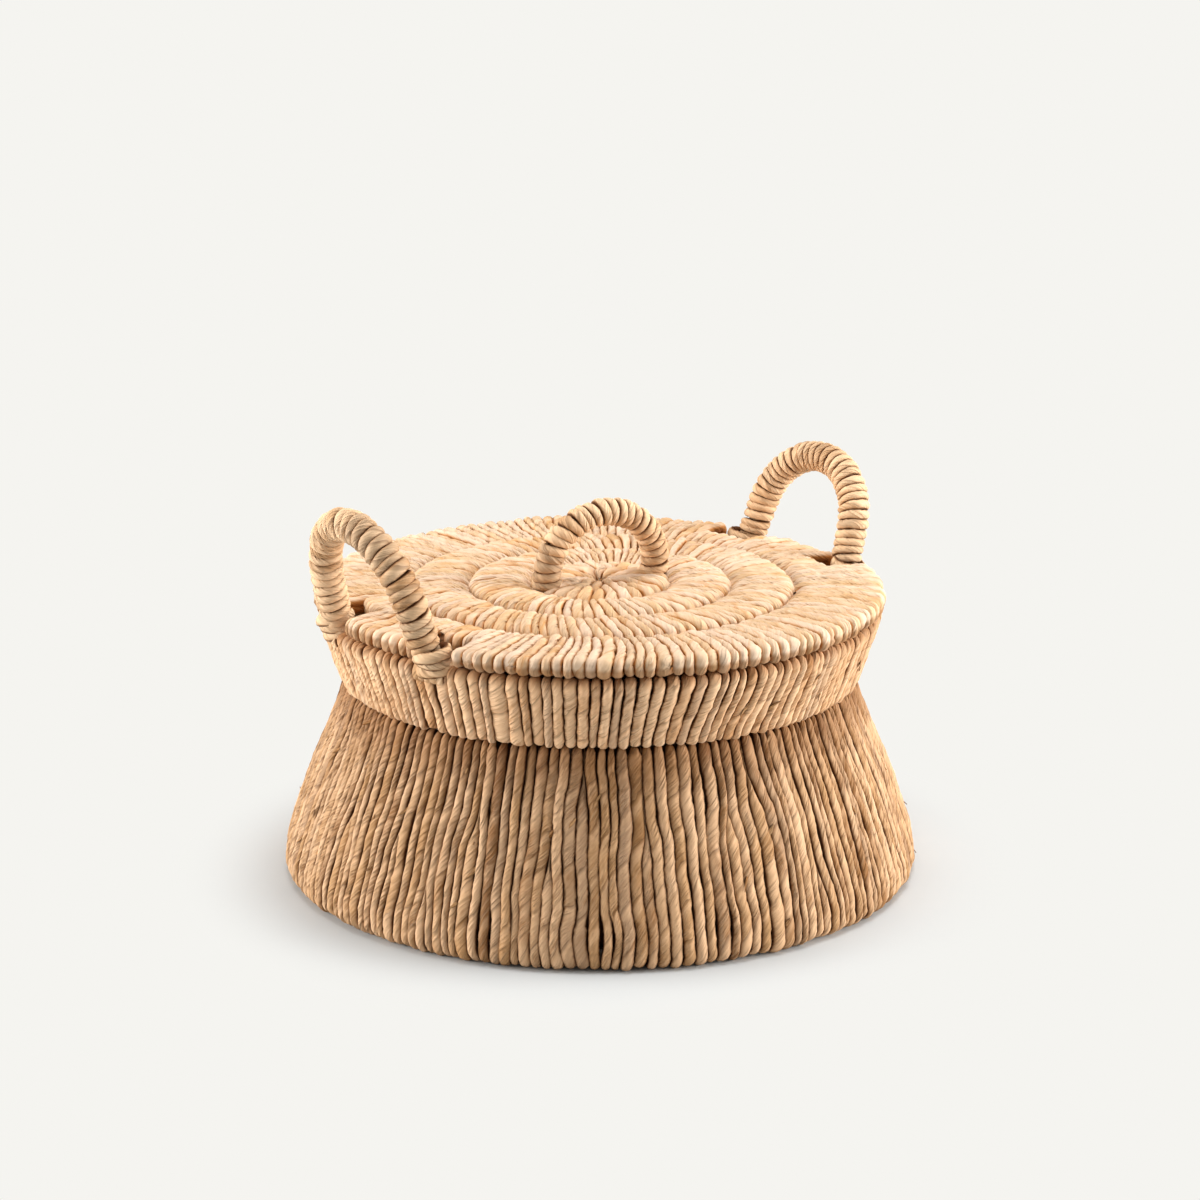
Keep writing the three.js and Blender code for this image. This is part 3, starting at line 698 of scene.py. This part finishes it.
def make_skirt():
    """The outside is split into four pieces, so that none has too many faces."""
    outer, inner = skirt_lines()
    count = skirt_cords + skirt_spares
    cut = wedges(count, skirt_spares, len(outer), fine_step, 125 * MM)
    places, widths = beside(count, len(outer), fine_step, **skirt_spread, cut=cut)
    widths = widths * rounded_tips(len(outer), fine_step)
    sunk = 2.4 * MM * (1 - cut)
    quarters = zip(*(np.array_split(a, 4) for a in (2 * math.pi * places, widths, sunk)))
    for number, (angles, width, deeper) in enumerate(quarters, 1):
        name = f"skirt_cords_{number}"
        piece = round_ring(name, outer, angles, width, skirt_depth, **skirt_form, sunk=deeper)
        nodes = ["skirt_weave"] if number == 1 else []
        finish_piece(piece, "basket", skirt_look, "cord", *nodes)
    make_flakes("skirt_leaf_ends", outer, count=60, span_shares=(0.08, 0.82))
    places, widths = beside(skirt_cords, len(inner), plain_step, **hidden_spread)
    name, angles = "skirt_cords_inside", 2 * math.pi * places
    piece = round_ring(name, inner, angles, widths, 2.6 * MM, **hidden_form)
    finish_piece(piece, "basket", skirt_look, "cord")


# Collar: loops over the rim wire, with rounded ends below


def collar_line():
    """Surface line up the inside, over the rim, down the outside and under the rounded ends."""
    return evenly(
        np.vstack(
            [
                [(neck_radius - wall + 4 * MM, neck_z - 2 * MM)],
                [(neck_radius - wall + 0.5 * MM, neck_z + 3 * MM)],
                [(rim_radius - nose, rim_z - 1 * MM)],
                arc_line((rim_radius, rim_z), nose, 170, -12, 9),
                arc_line((neck_radius - 2.6 * MM, neck_z + 2.6 * MM), 4.2 * MM, -10, -125, 6),
            ]
        ),
        fine_step,
    )


def pushed_apart(angles, share):
    """Angles moved away from the handles' feet, most where share is 1."""
    most, spread = 0.012, 0.07
    moved = angles.copy()
    for side in (0, math.pi):
        for foot in (side - foot_angle, side + foot_angle):
            off = nearest_turn(angles, foot)
            moved += np.sign(off) * most * np.exp(-((off / spread) ** 2)) * share
    return moved


def slanted(angles, height):
    """Angles moved sideways towards the rim, for the leaning cords to the right of the camera."""
    most, spread = 9 * MM / rim_radius, 0.42
    off = nearest_turn(angles, camera_azimuth - math.pi / 2 + math.radians(28))
    rise = height**2 * (3 - 2 * height)
    return angles + most * np.exp(-((off / spread) ** 2)) * rise


def make_collar():
    """One ring of cords, set apart at the handles' feet, with a few leaf ends."""
    line = collar_line()
    places, widths = beside(collar_cords, len(line), fine_step, **collar_spread)
    height = np.clip((line[:, 1] - neck_z) / (rim_z - neck_z), 0, 1)
    angles = slanted(pushed_apart(2 * math.pi * places, height**2.5), height)
    piece = round_ring("collar_cords", line, angles, widths, collar_depth, sides=12)
    finish_piece(piece, "basket", collar_look, "cord", "collar_weave")
    make_flakes("collar_leaf_ends", line, count=16, span_shares=(0.62, 0.86))


# Lid: four wheels of cord, the outer one set back at the side handles


def zone_line(inner, outer, low, high, crown, spacing, corner=None):
    """Surface line of one wheel: over the top from its groove, round the edge, back below."""
    tuck = min(2.5 * MM, inner * 0.5)
    top = smooth_line(
        [
            (inner - tuck, high - 6.5 * MM),
            (inner + 1.4 * MM, high - 3.4 * MM),
            (inner + 6 * MM, high - 1.1 * MM + 0.5 * crown),
            (0.6 * inner + 0.4 * outer, high + crown),
            (outer - 9 * MM, high + 0.5 * crown),
        ]
    )
    corner = corner or (high - low) / 2
    upper = arc_line((outer - corner, high - corner), corner, 72, 0, 4)
    lower = arc_line((outer - corner, low + corner), corner, 0, -90, 4)
    under = [(inner + 1 * MM, low), (inner - tuck, low + 2.5 * MM)]
    return evenly(np.vstack([top, upper, lower[1:], under]), spacing)


def make_wheel(name, inner, outer, cords, swirl, depth=3.2 * MM, shift=(0, 0, 0), late=0):
    """One of the lid's round wheels. Its late cords begin away from the middle."""
    high = lid_high + lid_dome * (1 - (outer / lid_radius) ** 2)
    line = zone_line(inner, outer, lid_low, high, 0.8 * MM, fine_step)
    cut = np.ones((cords, len(line)))
    picked = (np.arange(late) * cords / max(late, 1)).astype(int)
    cut[picked] = np.clip((line[:, 0] - rng.uniform(9, 24, (late, 1)) * MM) / (9 * MM), 0, 1)
    places, widths = beside(cords, len(line), fine_step, **lid_spread, cut=cut)
    share = (line[:, 0] - inner) / (outer - inner)
    slant = swirl * share + wander(1, cords, 14, 0.015).T * share
    angles = 2 * math.pi * places + slant
    moved = np.clip(1 - share, 0, 1)[None, :, None] * np.array(shift)
    sunk = 3 * MM * (1 - cut)
    name, node = f"lid_{name}_cords", f"lid_{name}_weave"
    piece = round_ring(name, line, angles, widths, depth, **lid_form, sunk=sunk, moved=moved)
    finish_piece(piece, "lid", lid_look, "pale_cord", node)


def rim_stretches():
    """(first edge, last edge, outer radius, cords) of each stretch of the outer wheel.

    An edge is a notch's middle angle and the side of the notch, -1 or 1."""
    stretches = []
    for side in (0, math.pi):
        first, second = side - foot_angle, side + foot_angle
        stretches += [
            ((first, -1), (first, 1), notch_inner, 5),
            ((first, 1), (second, -1), short_rim, 10),
            ((second, -1), (second, 1), notch_inner, 5),
            ((second, 1), (first + math.pi, -1), lid_radius, 59),
        ]
    return stretches


def edge_angles(edge, radii):
    """The angle at which a notch's edge, a straight line outwards, crosses each radius."""
    middle, way = edge
    return middle + way * np.arcsin((notch_half + 0.2 * MM) / np.maximum(radii, notch_inner))


def make_outer_wheel():
    """The eight stretches of the lid's edge. The two short rims droop a little."""
    inner = lid_zones[3]
    for number, (first, last, outer, cords) in enumerate(rim_stretches(), 1):
        line = zone_line(inner, outer, lid_low, lid_high, 0.6 * MM, rim_step, 4.6 * MM)
        places, widths = beside(cords, len(line), rim_step, **lid_spread)
        start = edge_angles(first, line[:, 0])
        width = edge_angles(last, line[:, 0]) - start
        share = np.clip((line[:, 0] - inner) / (outer - inner), 0, 1)
        bend = 0.02 if outer == lid_radius else 0
        swirl = bend * np.sin(math.pi * share) * np.sin(math.pi * places)
        sag = np.zeros((cords, len(line), 3))
        if outer == short_rim:
            sag[..., 2] = -short_rim_sag * share**2
            line[:, 0] += short_rim_reach * share
        angles = start + places * width + swirl
        widths = widths * width / (2 * math.pi)
        name = f"lid_outer_cords_{number}"
        piece = round_ring(name, line, angles, widths, 3.4 * MM, sides=12, **lid_form, moved=sag)
        nodes = ["lid_outer_weave"] if number == 1 else []
        finish_piece(piece, "lid", lid_look, "pale_cord", *nodes)


def make_lid():
    """The centre's cords meet a little behind the lid's middle, seen from the camera."""
    behind = from_camera(180, 6 * MM, 0)
    make_wheel("centre", *lid_zones[:2], cords=30, swirl=0, depth=3.8 * MM, shift=behind, late=19)
    make_wheel("inner", *lid_zones[1:3], cords=80, swirl=0.12)
    make_wheel("middle", *lid_zones[2:], cords=108, swirl=0.1)
    make_outer_wheel()


def make_floor():
    """Three wheels of cord, one inside the next."""
    for number, cords in enumerate(floor_cords, 1):
        inner, outer = floor_zones[number - 1 : number + 1]
        line = zone_line(inner, outer, floor_low, floor_high, 0, plain_step)
        places, widths = beside(cords, len(line), plain_step, **hidden_spread)
        angles = 2 * math.pi * places + 0.1 * (line[:, 0] - inner) / outer
        piece = round_ring(f"floor_cords_{number}", line, angles, widths, 2.4 * MM, **hidden_form)
        nodes = ["floor_weave"] if number == 1 else []
        finish_piece(piece, "basket", skirt_look, "cord", *nodes)


# Handles: a cord wound on a leaning arch


class Arch:
    """A handle's middle line: two legs and half an ellipse, in a plane that leans outwards."""

    def __init__(self, size, turn, origin):
        self.size = size
        out = np.array([math.cos(turn), math.sin(turn), 0])
        across = np.array([-math.sin(turn), math.cos(turn), 0])
        upward = np.array([0, 0, math.cos(size["lean"])]) + out * math.sin(size["lean"])
        self.normal = np.cross(across, upward)
        side, up = self.outline()
        self.line = origin + side[:, None] * across + up[:, None] * upward
        step = np.linalg.norm(np.diff(self.line, axis=0), axis=1)
        self.length = np.r_[0, np.cumsum(step)]

    def outline(self, steps=2000):
        """Places along the arch, sideways and upwards in its own plane."""
        size = self.size
        t = np.linspace(0, 1, steps + 1)
        crown = size["rise"] - size["leg"]
        leg_share = size["leg"] / (2 * size["leg"] + math.pi * (size["half_span"] + crown) / 2)
        swing = math.pi * np.clip((t - 0.5) / (1 - 2 * leg_share), -0.5, 0.5)
        side = size["half_span"] * np.sin(swing)
        legs = np.minimum(np.minimum(t, 1 - t) / leg_share, 1) * size["leg"]
        up = legs + crown * np.cos(swing) * (np.abs(swing) < math.pi / 2)
        side = side + np.sign(side) * size["splay"] * (1 - up / size["rise"]) ** 3
        return side, up

    def at(self, along):
        """The points at lengths along the line."""
        return np.stack([np.interp(along, self.length, self.line[:, k]) for k in range(3)], -1)


def uneven_turns(number, turns):
    """The count of turns made good and the tip of each turn, both a little uneven."""
    whole = np.arange(turns + 1)
    uneven = wander(1, turns + 1, 1, 0.13)[0]
    uneven[0] = uneven[-1] = 0
    paced = number + np.interp(number, whole, uneven)
    return paced, np.interp(number, whole, wander(1, turns + 1, 1.5, 0.05)[0])


def make_winding(name, arch, body, start, slim):
    """A cord wound along an arch but for the length start at each foot; slim thins it there."""
    radius, turns, steps = arch.size["radius"], arch.size["turns"], 24
    total = arch.length[-1]
    count = turns * steps + 1
    number = np.linspace(0, turns, count)
    turn = 2 * math.pi * number
    paced, tipped = uneven_turns(number, turns)
    along = start + (total - 2 * start) * paced / turns + radius * tipped * np.cos(turn)
    small = 0.2 * MM
    ahead = arch.at(along + small) - arch.at(along - small)
    ahead /= np.linalg.norm(ahead, axis=1, keepdims=True)
    inward = np.cross(arch.normal, ahead)
    outward = inward * np.cos(turn)[:, None] + arch.normal * np.sin(turn)[:, None]
    puff = wander(1, turns * 2, 1, 0.16)[0]
    puff = np.interp(number, np.linspace(0, turns, len(puff)), puff)
    past = (np.minimum(along, total - along) - start) / (9 * MM)
    reach = radius - winding_depth + 1.4 * MM * puff - slim * np.clip(1 - past, 0, 1)
    path = arch.at(along) + outward * reach[:, None]
    apart = np.linalg.norm(path[steps:] - path[:-steps], axis=1)
    spacing = (np.r_[apart, apart[-steps:]] + np.r_[apart[:steps], apart]) / 2
    half = spacing * 0.53 * (1 + 0.35 * puff)
    seeds = np.zeros((1, count))
    for share, seed in leaf_shares[name]:
        seeds[0, int(share * count):] = seed
    normal = outward + 0.15 * ahead
    depth = np.full((1, count), winding_depth)
    piece_name, node = f"{name}_handle_winding", f"{name}_handle_wrap"
    piece = cord_mesh(piece_name, path[None], normal[None], half[None], depth, sides=12, seeds=seeds)
    finish_piece(piece, body, wrap_look, "pale_cord", node)


def rim_loop(foot_turn, shift, slant, span, reach, count=40):
    """One lashing cord over the collar's top, slanting as it goes from outside to inside."""
    t = np.linspace(0, 1, count)
    angle = np.radians(span[0] + (span[1] - span[0]) * t)
    radius = rim_radius + reach * np.cos(angle)
    height = rim_z + reach * np.sin(angle)
    turn = foot_turn + (shift + slant * (t - 0.5)) / rim_radius
    path = np.stack([radius * np.cos(turn), radius * np.sin(turn), height], -1)
    normal = np.stack([np.cos(angle) * np.cos(turn), np.cos(angle) * np.sin(turn), np.sin(angle)], -1)
    return path, normal


def foot_band(foot_turn, distance, height, reach_out, reach, tilt, roll, count=40):
    """One cord round a handle's foot, tipped outwards and to one side; it meets itself inside."""
    overlap, upward = 0.1, 0.35
    t = np.linspace(-math.pi - overlap, math.pi + overlap, count)[:, None]
    out = np.array([math.cos(foot_turn), math.sin(foot_turn), 0])
    beside_it = np.array([-math.sin(foot_turn), math.cos(foot_turn), 0])
    normal = np.cos(t) * out + np.sin(t) * beside_it
    path = distance * out + reach_out * np.cos(t) * out + reach * np.sin(t) * beside_it
    path[:, 2] = height - reach * (math.tan(tilt) * np.cos(t) + math.tan(roll) * np.sin(t))[:, 0]
    return path, normal + np.array([0, 0, upward])


def make_lashing(name, foot_turn, lean):
    """Five loops over the collar, then three bands round the foot, each a little higher.

    A band is its height and its reach outwards and sideways past the leg in millimetres, its
    tilt and roll in degrees, and its half width in millimetres."""
    distance = math.hypot(side_handle["half_span"] + side_handle["splay"], side_handle["foot"])
    leg, flatness = side_handle["radius"], 0.62
    loops = []
    for shift in (-8, -4, 0, 4, 8):
        loops.append(rim_loop(foot_turn, shift * MM, 5 * MM, (-58, 205), nose - 0.6 * MM))
    half = [3.2 * MM] * len(loops)
    bands = [(4, -3, -0.2, 14, -6, 4), (9.5, -2, -1.2, 11, 10, 3.7), (12, -0.8, -1, 8, -9, 3.8)]
    for rise, out, side, tilt, roll, thick in bands:
        away = distance - 1.5 * MM + rise * MM * math.tan(lean)
        reaches = (leg + out * MM, leg + side * MM)
        tipped = (math.radians(tilt), math.radians(roll))
        loops.append(foot_band(foot_turn, away, rim_z + rise * MM, *reaches, *tipped))
        half.append(thick * MM)
    paths, normals = (np.stack(part) for part in zip(*loops))
    wide = np.array(half)[:, None] * np.ones(paths.shape[:2])
    piece = cord_mesh(name.replace("handle_", ""), paths, normals, wide, wide * flatness)
    finish_piece(piece, "basket", wrap_look, "pale_cord", name)


def make_handles():
    """The side handles with their lashings, then the lid's handle."""
    for side, turn, size in (("right", 0.0, right_handle), ("left", math.pi, left_handle)):
        out = np.array([math.cos(turn), math.sin(turn), 0])
        arch = Arch(size, turn, out * size["foot"] + np.array([0, 0, rim_z]))
        make_winding(side, arch, "basket", start=11 * MM, slim=2.2 * MM)
        for number, foot in ((1, turn - foot_angle), (2, turn + foot_angle)):
            make_lashing(f"{side}_handle_lashing_{number}", foot, size["lean"])
    arch = Arch(lid_handle, lid_handle_turn - math.pi / 2, np.array([0, 0, lid_ring_z]))
    make_winding("lid", arch, "lid", start=7.5 * MM, slim=-1.4 * MM)


def dress_frame():
    """Gives each node that stays its own wire or stalk surface."""
    for name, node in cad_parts.items():
        if node.hide_render:
            continue
        for place in node.material_slots:
            place.material = stalk_look if "padding" in name else wire_look


# Camera, ground and lamps


def from_camera(azimuth, distance, height):
    """A place round the middle, its azimuth in degrees from the camera's."""
    a = camera_azimuth + math.radians(azimuth)
    return (distance * math.sin(a), -distance * math.cos(a), height)


def make_camera():
    camera = bpy.data.objects.new("camera", bpy.data.cameras.new("camera"))
    camera.data.sensor_width = sensor
    camera.data.lens = sensor * focal_pixels / photo_size
    camera.data.shift_y = centre_row / photo_size - 0.5
    camera.location = from_camera(0, camera_distance, camera_height)
    camera.rotation_euler = (math.pi / 2 - camera_pitch, 0, camera_azimuth)
    bpy.context.scene.collection.objects.link(camera)
    bpy.context.scene.camera = camera


def make_ground():
    """A matt floor round the foot that fades into the plain background further out."""
    fade_start, fade_end = 0.19, 0.27
    bpy.ops.mesh.primitive_plane_add(size=8)
    ground = bpy.context.active_object
    ground.name = "ground"
    n = Nodes(bpy.data.materials.new("ground"))
    place = n.add("ShaderNodeNewGeometry").outputs["Position"]
    apart = n.add("ShaderNodeVectorMath", {0: place}, operation="LENGTH").outputs["Value"]
    diffuse = n.add("ShaderNodeBsdfDiffuse", {"Color": (0.54, 0.555, 0.555, 1)})
    glow = n.add("ShaderNodeEmission", {"Color": background, "Strength": 1.0})
    camera_ray = n.add("ShaderNodeLightPath").outputs["Is Camera Ray"]
    seen = n.times(n.ramp(apart, fade_start, fade_end), camera_ray)
    both = n.add("ShaderNodeMixShader", {0: seen, 1: diffuse.outputs[0], 2: glow.outputs[0]})
    n.add("ShaderNodeOutputMaterial", {"Surface": both.outputs[0]})
    ground.data.materials.append(n.owner)


def make_world(level):
    """An even light from all round; the camera, also through glass, sees the plain background."""
    n = Nodes(bpy.data.worlds.new("world"))
    bpy.context.scene.world = n.owner
    lit = n.add("ShaderNodeBackground", {"Color": (1, 0.99, 0.975, 1), "Strength": level})
    seen = n.add("ShaderNodeBackground", {"Color": background})
    rays = n.add("ShaderNodeLightPath").outputs
    sees = n.math("MAXIMUM", rays["Is Camera Ray"], rays["Is Transmission Ray"])
    both = n.add("ShaderNodeMixShader", {0: sees, 1: lit.outputs[0], 2: seen.outputs[0]})
    n.add("ShaderNodeOutputWorld", {"Surface": both.outputs[0]})


def add_lamp(name, place, size, power):
    """A soft lamp aimed at the box."""
    lamp = bpy.data.objects.new(name, bpy.data.lights.new(name, "AREA"))
    lamp.data.shape = "RECTANGLE"
    lamp.data.size, lamp.data.size_y = size
    lamp.data.energy = power
    lamp.location = place
    lamp.rotation_euler = (lamp_aim - lamp.location).to_track_quat("-Z", "Y").to_euler()
    bpy.context.scene.collection.objects.link(lamp)


make_camera()
make_skirt()
make_collar()
make_lid()
make_floor()
make_handles()
dress_frame()
make_ground()
make_world(level=0.27)
add_lamp("top", from_camera(120, 0.25, 2.3), size=(1.2, 1.2), power=45)
add_lamp("left", from_camera(-88, 2.0, 0.55), size=(1.4, 1.0), power=56)
add_lamp("right", from_camera(87, 2.0, 0.55), size=(1.4, 1.0), power=60)
add_lamp("front", from_camera(8, 2.4, 0.35), size=(1.6, 0.6), power=1.2)

bpy.context.scene.view_settings.view_transform = "Standard"
